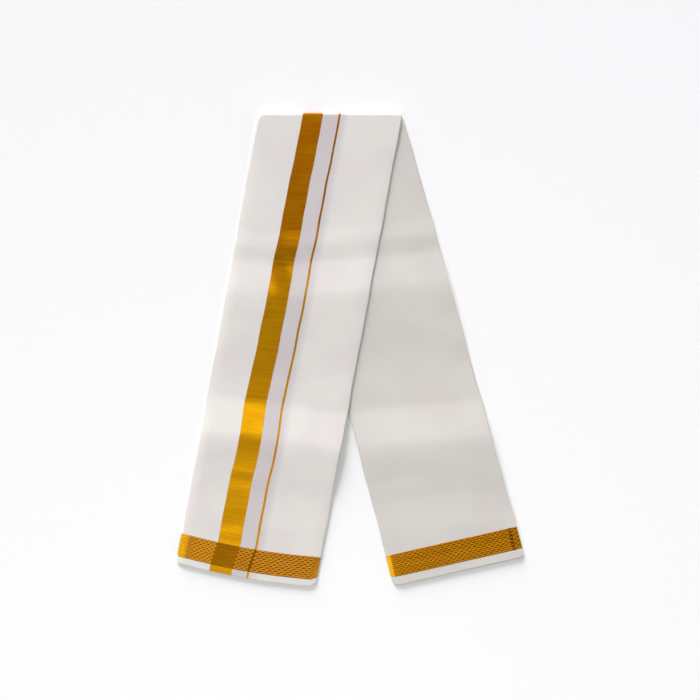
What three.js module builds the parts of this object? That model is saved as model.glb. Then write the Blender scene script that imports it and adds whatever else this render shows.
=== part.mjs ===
// A folded angavastram, the long cotton cloth with a gold zari border that is worn over the shoulder.
// It is folded to a narrow strip, bent over once in the middle and laid flat as an inverted V.
// Millimetres, +Z up. The cloth lies on z = 0, and the bend is at the +Y end.
// The face cloth is a thin wall, divided where the weave changes. Under it the hidden layers of each
// fall are one solid whose rim shows two rounded layers.
import * as THREE from 'three';

// Thickness of what lies on each other.
const WALL = 1.0;
const SEAM = 0.3;
const INNER = 2.7;
const FALL_THICK = INNER + SEAM + WALL;
const BETWEEN_FALLS = 0.5;

// The bend at the top: the face cloth goes round the edges of both falls as a half circle.
const BEND_RADIUS = (2 * FALL_THICK + BETWEEN_FALLS) / 2;
const BEND_STEPS = 8;
const BEND_TOP_Y = 480;
const BEND_Y = BEND_TOP_Y - BEND_RADIUS;
const BEND_CORNER = 4;

// Outline corners of the two falls on the table. The bend ends are at BEND_Y.
const FRONT = {
  name: 'front',
  bendLeft: -188,
  bendRight: 105,
  endLeft: { x: -354, y: -432 },
  endRight: { x: -71, y: -481 },
  endBow: 7,
  leftCorner: 6,
  rightCorner: 14,
};
const BACK = {
  name: 'back',
  bendLeft: -162,
  bendRight: 107,
  endLeft: { x: 88, y: -481 },
  endRight: { x: 354, y: -421 },
  endBow: 0,
  leftCorner: 12,
  rightCorner: 5,
};

// Woven zones across the front fall, from its left edge: their width at the bend and at the end.
const ACROSS = [
  { zone: 'ground_left', at_bend: 89, at_end: 76, strips: 3 },
  { zone: 'zari_border', at_bend: 41, at_end: 46, strips: 2 },
  { zone: 'white_stripe', at_bend: 32, at_end: 30, strips: 1 },
  { zone: 'zari_line', at_bend: 4.2, at_end: 4.8, strips: 1 },
];
const RIM_LINES = [0, 5, 14];
const GROUND_STRIPS = 4;
const PLAIN_STRIPS = 9;

// Woven zones along each fall, measured from its cut end.
const END_BAND = { front: 47, back: 46 };
const END_MARGIN = { front: 13, back: 18 };
const BAND_SKEW = 6;
const STATION_STEP = 30;

// Swells that run across the cloth: where each one's top lies, how far it runs out towards the bend
// and towards the cut end, and its height.
const SWELLS = [
  { top: 226, to_bend: 44, to_end: 46, rise: 1.0 },
  { top: 104, to_bend: 78, to_end: 176, rise: 3.6 },
  { top: -164, to_bend: 72, to_end: 150, rise: 4.4 },
  { top: -322, to_bend: 54, to_end: 80, rise: 1.3 },
];
const SWELL_SLANT = { front: 0.06, back: -0.05 };

// How the front fall comes down from the back fall to the table.
const DRAPE_FLAT = 38;
const DRAPE_RUN = 52;
const BEND_HOLD = 100;

// Rims from below to above. tuck is how far the rim lies behind the fall's outline.
const INNER_RIM = [
  { level: 0, tuck: 0.6 },
  { level: 0.3, tuck: 0 },
  { level: 1.05, tuck: 0 },
  { level: 1.35, tuck: 0.9 },
  { level: 1.65, tuck: 0.2 },
  { level: 2.4, tuck: 0.2 },
  { level: INNER, tuck: 0.8 },
];
const WALL_RIM = [
  { level: INNER + SEAM, tuck: 0.4 },
  { level: INNER + SEAM + 0.3, tuck: 0 },
  { level: FALL_THICK - 0.3, tuck: 0 },
  { level: FALL_THICK, tuck: 0.4 },
];

const COTTON = { color: 0xe3dfd5, roughness: 0.92, metalness: 0 };
const LILAC_WHITE = { color: 0xd2c8c6, roughness: 0.9, metalness: 0 };
const ZARI = { color: 0xb37a14, roughness: 0.42, metalness: 0.75 };

const lerp = THREE.MathUtils.lerp;
const smooth = THREE.MathUtils.smoothstep;

// Height of the swells at a point, nothing near the bend and at the cut ends.
function swell(fall, x, y) {
  let height = 0;
  for (const { top, to_bend, to_end, rise } of SWELLS) {
    const past = y - top - SWELL_SLANT[fall.name] * x;
    const off = past / (past > 0 ? to_bend : to_end);
    if (Math.abs(off) < 1) {
      height += rise * (0.5 + 0.5 * Math.cos(Math.PI * off));
    }
  }
  return height;
}

// A fall's two side edges, as lengths along them and as points.
function sideEdge(fall, side) {
  const top = new THREE.Vector2(side === 'left' ? fall.bendLeft : fall.bendRight, BEND_Y);
  const end = side === 'left' ? fall.endLeft : fall.endRight;
  const bottom = new THREE.Vector2(end.x, end.y);
  return { top, bottom, length: top.distanceTo(bottom) };
}

function endZone(fall) {
  return END_BAND[fall.name] + END_MARGIN[fall.name];
}

// The point of a side edge at a station. share runs from 0 at the bend to 1 at the end band, and past
// is the length beyond the band's upper edge.
function edgePoint(fall, side, station) {
  const { top, bottom, length } = sideEdge(fall, side);
  const along = station.share * (length - endZone(fall)) + station.past;
  return top.clone().lerp(bottom, along / length);
}

// How far a rounded end corner pulls the cloth back, at a distance in from the side edge.
function cornerPull(radius, inset) {
  if (inset >= radius) {
    return 0;
  }
  const off = 1 - inset / radius;
  return radius * (1 - Math.sqrt(1 - off * off));
}

// How much of the front fall's weight lies on the back fall here: 1 on it, 0 on the table.
function onBack(x, y, station) {
  const edge = sideEdge(BACK, 'left');
  const share = (edge.top.y - y) / (edge.top.y - edge.bottom.y);
  const outside = lerp(edge.top.x, edge.bottom.x, share) - x;
  const overBack = 1 - smooth(outside, DRAPE_FLAT, DRAPE_FLAT + DRAPE_RUN);
  const nearBend = 1 - smooth(station.share * sideEdge(FRONT, 'left').length, 0, BEND_HOLD);
  return Math.max(overBack, nearBend);
}

// Height of a point of a fall that lies flat. Where it lies on the back fall, the front fall takes its
// swells from below.
function lyingHeight(fall, x, y, station, level) {
  const own = swell(fall, x, y) * (level / FALL_THICK);
  if (fall.name === 'back') {
    return level + own;
  }
  const carried = FALL_THICK + swell(BACK, x, y) + BETWEEN_FALLS;
  return level + lerp(own, carried, onBack(x, y, station));
}

// A point of the cloth: line is a line's inset from the left edge and shift a small move from there,
// station lies along the fall, and level is the height in its thickness.
function clothPoint(fall, line, shift, station, level) {
  const left = edgePoint(fall, 'left', station);
  const right = edgePoint(fall, 'right', station);
  const width = left.distanceTo(right);
  const across = (line + shift) / width;
  const flat = left.clone().lerp(right, across);
  const down = new THREE.Vector2(left.y - right.y, right.x - left.x).multiplyScalar(-1 / width);
  const fromEnd = endZone(fall) - station.past;
  const nearEnd = station.share < 1 ? 0 : 1 - fromEnd / endZone(fall);
  const pull = cornerPull(fall.leftCorner, line) + cornerPull(fall.rightCorner, width - line);
  const bow = fall.endBow * station.share ** 3 * Math.sin(Math.PI * across);
  flat.addScaledVector(down, bow - pull * nearEnd);
  if (station.turn === undefined) {
    return new THREE.Vector3(flat.x, flat.y, lyingHeight(fall, flat.x, flat.y, station, level));
  }
  const radius = BEND_RADIUS - (FALL_THICK - level);
  return new THREE.Vector3(
    flat.x,
    BEND_Y + radius * Math.sin(station.turn),
    BEND_RADIUS + radius * Math.cos(station.turn),
  );
}

// How far a rim at this level reaches into the hollow of the bend.
function noseReach(fall, level) {
  const height = fall.name === 'front' ? FALL_THICK + BETWEEN_FALLS + level : level;
  const room = BEND_RADIUS - WALL - SEAM;
  const off = Math.abs(height - BEND_RADIUS);
  return off > room ? -SEAM : Math.sqrt(room * room - off * off) - SEAM;
}

// Stations along a fall, from the bend to the cut end.
function mainStations(fall) {
  const count = Math.ceil((sideEdge(fall, 'left').length - endZone(fall)) / STATION_STEP);
  return Array.from({ length: count + 1 }, (_, i) => ({ share: i / count, past: 0 }));
}

function bendStations() {
  return Array.from({ length: BEND_STEPS }, (_, i) => (
    { share: 0, past: 0, turn: Math.PI * (1 - i / BEND_STEPS) }
  ));
}

function endStations(from, to, steps) {
  return Array.from({ length: steps + 1 }, (_, i) => (
    { share: 1, past: lerp(from, to, i / steps) }
  ));
}

// Lines across a fall, as insets from its left edge. Each woven zone's border is one of them. Over
// the end band the zones run on a little askew.
function frontLines(station) {
  const width = edgePoint(FRONT, 'left', station).distanceTo(edgePoint(FRONT, 'right', station));
  const lines = [...RIM_LINES];
  let start = -BAND_SKEW * Math.min(station.past / END_BAND.front, 1);
  for (const { at_bend, at_end, strips } of ACROSS) {
    const end = start + lerp(at_bend, at_end, station.share);
    const from = lines[lines.length - 1];
    for (let k = 1; k <= strips; k += 1) {
      lines.push(lerp(from, end, k / strips));
    }
    start = end;
  }
  const last = width - RIM_LINES[RIM_LINES.length - 1];
  for (let k = 1; k <= GROUND_STRIPS; k += 1) {
    lines.push(lerp(start, last, k / GROUND_STRIPS));
  }
  lines.push(...[...RIM_LINES].reverse().slice(1).map((inset) => width - inset));
  return lines;
}

function backLines(station) {
  const width = edgePoint(BACK, 'left', station).distanceTo(edgePoint(BACK, 'right', station));
  const first = RIM_LINES[RIM_LINES.length - 1];
  const lines = [...RIM_LINES];
  for (let k = 1; k <= PLAIN_STRIPS; k += 1) {
    lines.push(lerp(first, width - first, k / PLAIN_STRIPS));
  }
  lines.push(...[...RIM_LINES].reverse().slice(1).map((inset) => width - inset));
  return lines;
}

const LINES = { front: frontLines, back: backLines };
const LAST_LINE = {
  front: frontLines({ share: 0, past: 0 }).length - 1,
  back: backLines({ share: 0, past: 0 }).length - 1,
};

// Where the borders of the front fall's woven zones come in its list of lines.
function zoneLines() {
  const borders = [0];
  let line = RIM_LINES.length - 1;
  for (const { strips } of ACROSS) {
    line += strips;
    borders.push(line);
  }
  borders.push(LAST_LINE.front);
  return borders;
}

// A slab of cloth between two lines across and over some stations. Its rim rows are drawn in by tuck
// at the fall's own outline and by half a seam where it meets another zone.
function slab(fall, lines, stations, rim, meets) {
  const [firstLine, lastLine] = lines;
  const columns = lastLine - firstLine;
  const rows = stations.length - 1;
  const positions = [];
  const known = new Map();

  function vertex(i, j, r) {
    const inside = i > 0 && i < columns && j > 0 && j < rows;
    const key = inside ? `${i},${j},${r}` : `${i},${j},${r},rim`;
    if (known.has(key)) {
      return known.get(key);
    }
    const { level, tuck } = rim[r];
    const station = { ...stations[j] };
    if (j === rows) {
      station.past -= meets.below ? SEAM / 2 : tuck;
    }
    if (j === 0 && meets.above) {
      station.past += SEAM / 2;
    }
    const line = LINES[fall.name](station)[firstLine + i];
    let shift = 0;
    const bendTuck = station.turn === undefined ? 0 : BEND_CORNER * (1 - Math.cos(station.turn)) / 2;
    if (i === 0) {
      shift = firstLine === 0 ? tuck + bendTuck : SEAM / 2;
    }
    if (i === columns) {
      shift = lastLine === LAST_LINE[fall.name] ? -tuck - bendTuck : -SEAM / 2;
    }
    const point = clothPoint(fall, line, shift, station, level);
    if (j === 0 && meets.nose) {
      point.y += noseReach(fall, level);
    }
    positions.push(point.x, point.y, point.z);
    known.set(key, positions.length / 3 - 1);
    return positions.length / 3 - 1;
  }

  const faces = [];
  function quad(a, b, c, d) {
    faces.push(a, b, c, a, c, d);
  }
  const top = rim.length - 1;
  for (let i = 0; i < columns; i += 1) {
    for (let j = 0; j < rows; j += 1) {
      quad(vertex(i, j, top), vertex(i, j + 1, top), vertex(i + 1, j + 1, top), vertex(i + 1, j, top));
      quad(vertex(i + 1, j + 1, 0), vertex(i, j + 1, 0), vertex(i, j, 0), vertex(i + 1, j, 0));
    }
  }
  for (let r = 0; r < top; r += 1) {
    for (let i = 0; i < columns; i += 1) {
      quad(vertex(i, rows, r), vertex(i + 1, rows, r), vertex(i + 1, rows, r + 1), vertex(i, rows, r + 1));
      quad(vertex(i + 1, 0, r + 1), vertex(i + 1, 0, r), vertex(i, 0, r), vertex(i, 0, r + 1));
    }
    for (let j = 0; j < rows; j += 1) {
      quad(vertex(0, j, r), vertex(0, j + 1, r), vertex(0, j + 1, r + 1), vertex(0, j, r + 1));
      quad(
        vertex(columns, j + 1, r + 1),
        vertex(columns, j + 1, r),
        vertex(columns, j, r),
        vertex(columns, j, r + 1),
      );
    }
  }
  const geometry = new THREE.BufferGeometry();
  geometry.setAttribute('position', new THREE.Float32BufferAttribute(positions, 3));
  geometry.setIndex(faces);
  geometry.computeVertexNormals();
  return geometry;
}

function piece(name, geometry, look) {
  const mesh = new THREE.Mesh(geometry, new THREE.MeshStandardMaterial(look));
  mesh.name = name;
  return mesh;
}

// The hidden layers of one fall.
function innerLayers(fall) {
  const stations = [...mainStations(fall), ...endStations(0, endZone(fall), 3).slice(1)];
  const geometry = slab(fall, [0, LAST_LINE[fall.name]], stations, INNER_RIM, { nose: true });
  return piece(`${fall.name}_inner_layers`, geometry, COTTON);
}

// The front fall's face: five zones from the table, up the fall and round the bend.
function frontFace() {
  const borders = zoneLines();
  const names = [...ACROSS.map(({ zone }) => zone), 'ground_right'];
  const looks = [COTTON, ZARI, LILAC_WHITE, ZARI, COTTON];
  const stations = [...bendStations(), ...mainStations(FRONT)];
  return names.map((zone, k) => {
    const geometry = slab(FRONT, [borders[k], borders[k + 1]], stations, WALL_RIM, { below: true });
    return piece(`front_${zone}`, geometry, looks[k]);
  });
}

function frontMargin() {
  const borders = zoneLines();
  const names = ['left', 'zari', 'mid', 'line', 'right'];
  const looks = [COTTON, ZARI, LILAC_WHITE, ZARI, COTTON];
  const stations = endStations(END_BAND.front, endZone(FRONT), 1);
  return names.map((zone, k) => {
    const geometry = slab(FRONT, [borders[k], borders[k + 1]], stations, WALL_RIM, { above: true });
    return piece(`front_margin_${zone}`, geometry, looks[k]);
  });
}

function endBand(fall) {
  const stations = endStations(0, END_BAND[fall.name], 2);
  const meets = { above: true, below: true };
  const geometry = slab(fall, [0, LAST_LINE[fall.name]], stations, WALL_RIM, meets);
  return piece(`${fall.name}_end_band`, geometry, ZARI);
}

// The back fall's face, plain ground as far as its end band, and the margin below that.
function backFace() {
  const whole = [0, LAST_LINE.back];
  const ground = slab(BACK, whole, mainStations(BACK), WALL_RIM, { nose: true, below: true });
  const marginStations = endStations(END_BAND.back, endZone(BACK), 1);
  const margin = slab(BACK, whole, marginStations, WALL_RIM, { above: true });
  return [piece('back_ground', ground, COTTON), piece('back_margin', margin, COTTON)];
}

const frontFall = new THREE.Group();
frontFall.add(...frontFace(), endBand(FRONT), ...frontMargin(), innerLayers(FRONT));

const backFall = new THREE.Group();
backFall.add(...backFace(), endBand(BACK), innerLayers(BACK));

const angavastram = new THREE.Group();
angavastram.add(frontFall, backFall);

export default angavastram;
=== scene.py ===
# %% [markdown]
# # A folded angavastram
#
# An angavastram is a long cotton cloth with a gold zari border, worn over the shoulder. This one is
# folded in four lengthwise to a strip, bent over once in the middle, and laid flat as an inverted V.
# Nothing is sewn onto it, so the lesson is about one sheet: how its folds are laid out as a path,
# how that path is swept along the cloth, and how the woven zones become pieces and materials.
#
# All lengths are in metres. The cloth lies on z = 0 and the bend is at the +Y end.

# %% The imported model
import math

import bpy
import numpy as np
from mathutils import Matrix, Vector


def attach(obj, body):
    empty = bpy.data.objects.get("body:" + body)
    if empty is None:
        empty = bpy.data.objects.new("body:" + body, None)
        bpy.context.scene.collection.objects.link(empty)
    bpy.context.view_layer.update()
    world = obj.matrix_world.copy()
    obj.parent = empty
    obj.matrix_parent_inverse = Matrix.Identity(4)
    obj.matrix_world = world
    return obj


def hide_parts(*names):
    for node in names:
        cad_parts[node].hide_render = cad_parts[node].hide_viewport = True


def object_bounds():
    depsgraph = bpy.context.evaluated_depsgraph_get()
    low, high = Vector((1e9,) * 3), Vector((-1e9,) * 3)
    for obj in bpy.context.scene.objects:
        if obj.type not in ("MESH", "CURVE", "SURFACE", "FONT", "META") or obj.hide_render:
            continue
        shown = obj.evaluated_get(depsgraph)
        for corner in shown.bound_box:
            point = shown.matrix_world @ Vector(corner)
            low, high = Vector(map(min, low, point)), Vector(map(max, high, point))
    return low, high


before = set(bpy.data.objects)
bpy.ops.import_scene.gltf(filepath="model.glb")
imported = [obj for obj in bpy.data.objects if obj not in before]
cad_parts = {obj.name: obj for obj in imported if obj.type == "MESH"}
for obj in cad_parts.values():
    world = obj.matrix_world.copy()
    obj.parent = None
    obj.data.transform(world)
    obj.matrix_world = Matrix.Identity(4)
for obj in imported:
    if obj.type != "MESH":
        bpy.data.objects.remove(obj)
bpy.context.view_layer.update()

print("solids in the frame:", len(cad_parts))

# %% [markdown]
# ## The sizes
#
# A strip folded in four has a stack of four cloths. The two side edges of each fall and the bend at
# the top are all that the outline needs, so a fall is described by its four corners. The heights
# come from the frame: the bend is a half circle, so its radius is half of the box that it fills.

# %% Driving sizes
CLOTH = 0.0005
STACK = 0.004
BETWEEN = 0.0005
BEND_RADIUS = STACK + BETWEEN / 2
BEND_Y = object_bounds()[1].y - BEND_RADIUS

FALLS = {
    "front": {
        "bend": (-0.188, 0.105),
        "end_left": (-0.354, -0.432),
        "end_right": (-0.071, -0.481),
        "bow": 0.007,
        "corners": (0.006, 0.014),
        "band": 0.047,
        "margin": 0.013,
        "slant": -0.12,
    },
    "back": {
        "bend": (-0.162, 0.107),
        "end_left": (0.088, -0.481),
        "end_right": (0.354, -0.421),
        "bow": 0.0,
        "corners": (0.012, 0.005),
        "band": 0.046,
        "margin": 0.018,
        "slant": 0.09,
    },
}
print("bend at y =", round(BEND_Y, 4), "radius", BEND_RADIUS)

# %% [markdown]
# ## The swells
#
# Starched cotton never lies quite flat. Broad swells run across both falls, and each has a short
# steep side towards the bend and a long gentle one towards the cut end. They are what makes the
# light and dark bands on the cloth, so they are real height here and not painted tone. They run a
# little aslant, the other way on each fall, and lie further towards the bend on the back fall. Small
# soft creases lie on top of them, each given with its own length, width and depth.

# %% Height of the swells and creases
SWELLS = [
    {"top": 0.186, "back_shift": 0.034, "to_bend": 0.034, "to_end": 0.040, "rise": 0.0010},
    {"top": 0.086, "back_shift": 0.027, "to_bend": 0.080, "to_end": 0.172, "rise": 0.0042},
    {"top": -0.210, "back_shift": 0.003, "to_bend": 0.090, "to_end": 0.162, "rise": 0.0061},
    {"top": -0.370, "back_shift": 0.0, "to_bend": 0.062, "to_end": 0.110, "rise": 0.0016},
]
ROUNDING = 0.17
CREASE_COLUMNS = ("fall", "x", "y", "turn", "long", "wide", "rise")
CREASE_ROWS = [
    ("front", -0.180, 0.330, 8, 0.110, 0.010, -0.00022),
    ("front", -0.060, 0.285, -5, 0.090, 0.014, 0.00030),
    ("front", -0.215, 0.060, 4, 0.075, 0.009, -0.00025),
    ("front", -0.020, -0.060, -14, 0.100, 0.012, 0.00028),
    ("front", -0.290, -0.236, 22, 0.060, 0.007, -0.00032),
    ("front", -0.120, -0.262, 3, 0.120, 0.013, 0.00022),
    ("front", -0.105, -0.385, -8, 0.080, 0.008, -0.00020),
    ("front", -0.135, 0.184, -5, 0.030, 0.008, -0.00034),
    ("front", -0.169, 0.003, -4, 0.030, 0.008, 0.00032),
    ("front", -0.220, -0.249, -6, 0.030, 0.007, -0.00030),
    ("front", -0.245, -0.373, -5, 0.030, 0.007, -0.00034),
    ("back", 0.150, 0.205, 28, 0.080, 0.011, -0.00026),
    ("back", 0.205, 0.030, -18, 0.070, 0.009, 0.00030),
    ("back", 0.065, -0.268, 12, 0.095, 0.010, -0.00028),
    ("back", 0.240, -0.240, -6, 0.130, 0.014, 0.00024),
    ("back", 0.215, -0.408, 13, 0.170, 0.006, -0.00022),
]
CREASES = [dict(zip(CREASE_COLUMNS, row)) for row in CREASE_ROWS]


def smoothstep(value, low, high):
    share = np.clip((value - low) / (high - low), 0.0, 1.0)
    return share * share * (3.0 - 2.0 * share)


def even_slope(share):
    """From 0 to 1 with one even slope, rounded only at its foot and its crest."""
    share = np.clip(share, 0.0, 1.0)
    bend = 2.0 * ROUNDING * (1.0 - ROUNDING)
    foot = share**2 / bend
    crest = 1.0 - (1.0 - share) ** 2 / bend
    slope = (share - ROUNDING / 2.0) / (1.0 - ROUNDING)
    return np.where(share < ROUNDING, foot, np.where(share > 1.0 - ROUNDING, crest, slope))


def swell(fall, x, y):
    height = np.zeros_like(x)
    for row in SWELLS:
        past = y - row["top"] - FALLS[fall]["slant"] * x
        if fall == "back":
            past = past - row["back_shift"]
        off = past / np.where(past > 0.0, row["to_bend"], row["to_end"])
        height += row["rise"] * even_slope(1.0 - np.abs(off))
    return height


def creases(fall, x, y):
    height = np.zeros_like(x)
    for row in CREASES:
        if row["fall"] != fall:
            continue
        turn = math.radians(row["turn"])
        along = (x - row["x"]) * math.cos(turn) + (y - row["y"]) * math.sin(turn)
        across = (y - row["y"]) * math.cos(turn) - (x - row["x"]) * math.sin(turn)
        shape = np.exp(-(along / row["long"]) ** 4 - (across / row["wide"]) ** 2)
        height += row["rise"] * shape
    return height


print("swells:", len(SWELLS), "creases:", len(CREASES))

# %% [markdown]
# ## From cloth to table
#
# A point of a fall is named by three things: how far it is from the fall's left edge, how far it is
# along the fall, and its level in the stack of four cloths. The side edges come first. On the real
# cloth they are folds laid by hand, so they waver by half a millimetre.

# %% Side edges of a fall
BULGE_LENGTH = 0.150
WAVES_FROM = 0.05
SIDE_WAVES = [(0.0005, 31.0, 1.0), (0.0003, 83.0, 2.0)]


def side_edge(fall, side):
    size = FALLS[fall]
    end = size["end_left"] if side == 0 else size["end_right"]
    return np.array([size["bend"][side], BEND_Y]), np.array(end)


def waves(run, rows, base=0.0, side=1):
    """A hand-laid edge: a base and a few sine waves of height, rate and phase."""
    total = base
    for height, rate, phase in rows:
        total = total + height * np.sin(run * rate + phase * side)
    return total


def edge_points(fall, side, along):
    """The points of a side edge at these stations. Near the bend the back fall's edges swing out
    to the front fall's, because the same cloth runs round the bend."""
    start, end = side_edge(fall, side)
    length = np.linalg.norm(end - start)
    size = FALLS[fall]
    run = along["share"] * (length - size["band"] - size["margin"]) + along["past"]
    points = start + np.outer(run / length, end - start)
    if fall == "back":
        swing = FALLS["front"]["bend"][side] - FALLS["back"]["bend"][side]
        points[:, 0] += swing * (1.0 - smoothstep(run, 0.0, BULGE_LENGTH))
    points[:, 0] += waves(run, SIDE_WAVES, 0.0, side) * smoothstep(run, 0.0, WAVES_FROM)
    return points, run


def both_edges(fall, along):
    """The points of both side edges, the run down the left one and the width between them."""
    left, run = edge_points(fall, 0, along)
    right, _ = edge_points(fall, 1, along)
    return left, right, run, np.linalg.norm(right - left, axis=1)


print("front left edge:", [round(float(v), 3) for v in np.concatenate(side_edge("front", 0))])


# %% [markdown]
# ## One place for every point
#
# One function turns those three things into a place. The front fall starts on top of the back fall
# and comes down to the table beside it, and at the bend every layer runs round its own half circle,
# so the layers nest as they do in the real fold. A cloth simulation could drape them too, but it
# wouldn't stay on the solids.

# %% The cloth function
DRAPE_FLAT = 0.038
DRAPE_RUN = 0.052
BEND_HOLD = 0.100
LIFTED_SHARE = 0.35


def on_back(x, y, run):
    """1 where the front fall lies on the back fall, 0 where it lies on the table."""
    start, end = side_edge("back", 0)
    share = (start[1] - y) / (start[1] - end[1])
    outside = start[0] + share * (end[0] - start[0]) - x
    over_back = 1.0 - smoothstep(outside, DRAPE_FLAT, DRAPE_FLAT + DRAPE_RUN)
    near_bend = 1.0 - smoothstep(run, 0.0, BEND_HOLD)
    return np.maximum(over_back, near_bend)


def corner_pull(radius, inset):
    off = np.clip(1.0 - inset / radius, 0.0, 1.0)
    return radius * (1.0 - np.sqrt(1.0 - off * off))


def cloth_points(fall, inset, level, along):
    """inset and level are arrays of lines by stations. Returns lines by stations by three."""
    size = FALLS[fall]
    left, right, run, width = both_edges(fall, along)
    chord = right - left
    down = np.stack([chord[:, 1], -chord[:, 0]], axis=1) / width[:, None]
    across = inset / width
    near_end = np.clip(along["past"] / (size["band"] + size["margin"]), 0.0, 1.0)
    pull = corner_pull(size["corners"][0], inset) + corner_pull(size["corners"][1], width - inset)
    bow = size["bow"] * along["share"] ** 3 * np.sin(np.pi * np.clip(across, 0.0, 1.0))
    flat = left + across[..., None] * chord + (bow - pull * near_end)[..., None] * down
    x, y = flat[..., 0], flat[..., 1]
    rise = swell(fall, x, y) + creases(fall, x, y)
    own = rise * (LIFTED_SHARE + (1.0 - LIFTED_SHARE) * level / STACK)
    own *= smoothstep(level, 0.0, CLOTH)
    if fall == "front":
        back_top = STACK + BETWEEN + swell("back", x, y) + creases("back", x, y)
        held = on_back(x, y, run)
        own = own * (1.0 - held) + back_top * held
    z = level + own
    turn = along["turn"]
    bent = turn > 0.0
    radius = BEND_RADIUS - (STACK - (level if fall == "front" else STACK - level))
    y = np.where(bent, BEND_Y + radius * np.sin(turn), y)
    z = np.where(bent, BEND_RADIUS + radius * np.cos(turn), z)
    return np.stack([x, y, z], axis=-1)


print("cloth function ready, drape run", DRAPE_RUN)

# %% [markdown]
# ## The fold as a path
#
# Cut across a fall and the cloth is one line: along the bottom from a free selvedge, round the wide
# left fold, over the top, round the tight right fold, back inside, round an inner fold, and out to
# the second selvedge. The path below is that line, a row of insets and levels. The woven zones of
# the top cloth are stretches of it, so their borders are exactly shared.

# %% Path of the folded section
FOLD_STEPS = 13
OUTER_FOLD = 0.0065
INNER_FOLD = 0.0030
RIGHT_FOLD = 0.0032
LEVELS = {"bottom": 0.00030, "inner_low": 0.00142, "inner_high": 0.00252, "top": 0.00372}
ZONES = [
    {"zone": "border", "at_bend": 0.041, "at_end": 0.046, "lines": 6},
    {"zone": "lilac", "at_bend": 0.032, "at_end": 0.030, "lines": 4},
    {"zone": "line", "at_bend": 0.0042, "at_end": 0.0048, "lines": 2},
]
BORDER_INSET = {"at_bend": 0.0912, "at_end": 0.0752}
BAND_SKEW = 0.0062
BORDER_WANDER = [
    {"y": 0.190, "half": 0.050, "shift": -0.0010},
    {"y": 0.112, "half": 0.065, "shift": 0.0014},
    {"y": -0.085, "half": 0.080, "shift": -0.0016},
    {"y": -0.185, "half": 0.060, "shift": 0.0015},
]


def border_insets(along, y):
    """Insets of the zone borders of the top cloth, one row for each border."""
    share = along["share"]
    start = BORDER_INSET["at_bend"] + (BORDER_INSET["at_end"] - BORDER_INSET["at_bend"]) * share
    for row in BORDER_WANDER:
        off = np.clip((y - row["y"]) / row["half"], -1.0, 1.0)
        start = start + row["shift"] * (0.5 + 0.5 * np.cos(np.pi * off))
    start = start - BAND_SKEW * np.clip(along["past"] / FALLS["front"]["band"], 0.0, 1.0)
    rows = [start]
    for row in ZONES:
        rows.append(rows[-1] + row["at_bend"] + (row["at_end"] - row["at_bend"]) * share)
    return np.stack(rows)


def fold_curve(depth, low, high):
    """A fold's half oval as pairs of inset and level, from low to high."""
    angles = np.linspace(-np.pi / 2, np.pi / 2, FOLD_STEPS)
    middle, reach = (low + high) / 2, (high - low) / 2
    return [(CLOTH / 2 + depth * (1.0 - math.cos(a)), middle + reach * math.sin(a)) for a in angles]


def inner_shares(count):
    return [k / count for k in range(1, count)]


print("levels:", LEVELS)


# %% [markdown]
# ## Lines across a fall
#
# Every line runs along the cloth. Folds get many lines and flat panels few, and each woven zone
# starts on a line of its own, which a remesh would lose.

# %% Lines across a fall
PANEL_LINES = 22
LEFT_LINES = 9
RIGHT_LINES = 14
FREE_EDGE = {"base": 0.0011, "rows": [(0.0007, 13.0, 0.0), (0.0004, 47.0, 0.0)]}
INNER_EDGE = {"base": 0.0022, "rows": [(0.0008, 9.0, 1.0)]}
SECOND_EDGE = {"base": 0.0024, "rows": [(0.0009, 17.0, 2.0), (0.0005, 39.0, 0.0)]}


def section_lines(fall, along):
    """Names, insets and levels of all lines across a fall. The names mark where a zone starts."""
    left, _, run, width = both_edges(fall, along)
    zones = border_insets(along, left[:, 1])
    rows = []

    def add(name, inset, level):
        rows.append((name, np.broadcast_to(inset, width.shape), level))

    start = width - waves(run, **FREE_EDGE)
    for k in range(PANEL_LINES):
        add("bottom", start + (OUTER_FOLD - start) * k / PANEL_LINES, LEVELS["bottom"])
    for inset, level in fold_curve(OUTER_FOLD, LEVELS["bottom"], LEVELS["top"]):
        add("fold", inset, level)
    for share in inner_shares(LEFT_LINES):
        add("ground_left", OUTER_FOLD + (zones[0] - OUTER_FOLD) * share, LEVELS["top"])
    for k, row in enumerate(ZONES):
        for step in range(row["lines"]):
            share = step / row["lines"]
            add(row["zone"], zones[k] + (zones[k + 1] - zones[k]) * share, LEVELS["top"])
    last = width - RIGHT_FOLD
    for step in range(RIGHT_LINES):
        inset = zones[3] + (last - zones[3]) * step / RIGHT_LINES
        add("ground_right", inset, LEVELS["top"])
    tight = fold_curve(RIGHT_FOLD, LEVELS["inner_high"], LEVELS["top"])
    for inset, level in reversed(tight):
        add("right_fold", width - inset, level)
    inner_start = waves(run, **INNER_EDGE)
    inner_turn = inner_start + INNER_FOLD
    for share in inner_shares(PANEL_LINES):
        add("inside", last + (inner_turn - last) * share, LEVELS["inner_high"])
    nest = fold_curve(INNER_FOLD, LEVELS["inner_low"], LEVELS["inner_high"])
    for inset, level in reversed(nest):
        add("inside", inner_start + inset, level)
    stop = width - waves(run, **SECOND_EDGE)
    for share in [*inner_shares(PANEL_LINES), 1.0]:
        add("inside", inner_turn + (stop - inner_turn) * share, LEVELS["inner_low"])
    names = [row[0] for row in rows]
    inset = np.stack([row[1] for row in rows])
    level = np.array([row[2] for row in rows])
    if fall == "back":
        level = STACK - level
    return names, inset, np.repeat(level[:, None], len(run), axis=1)


STEP = 0.0055
BAND_STEPS = 12
MARGIN_STEPS = 4


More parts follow.
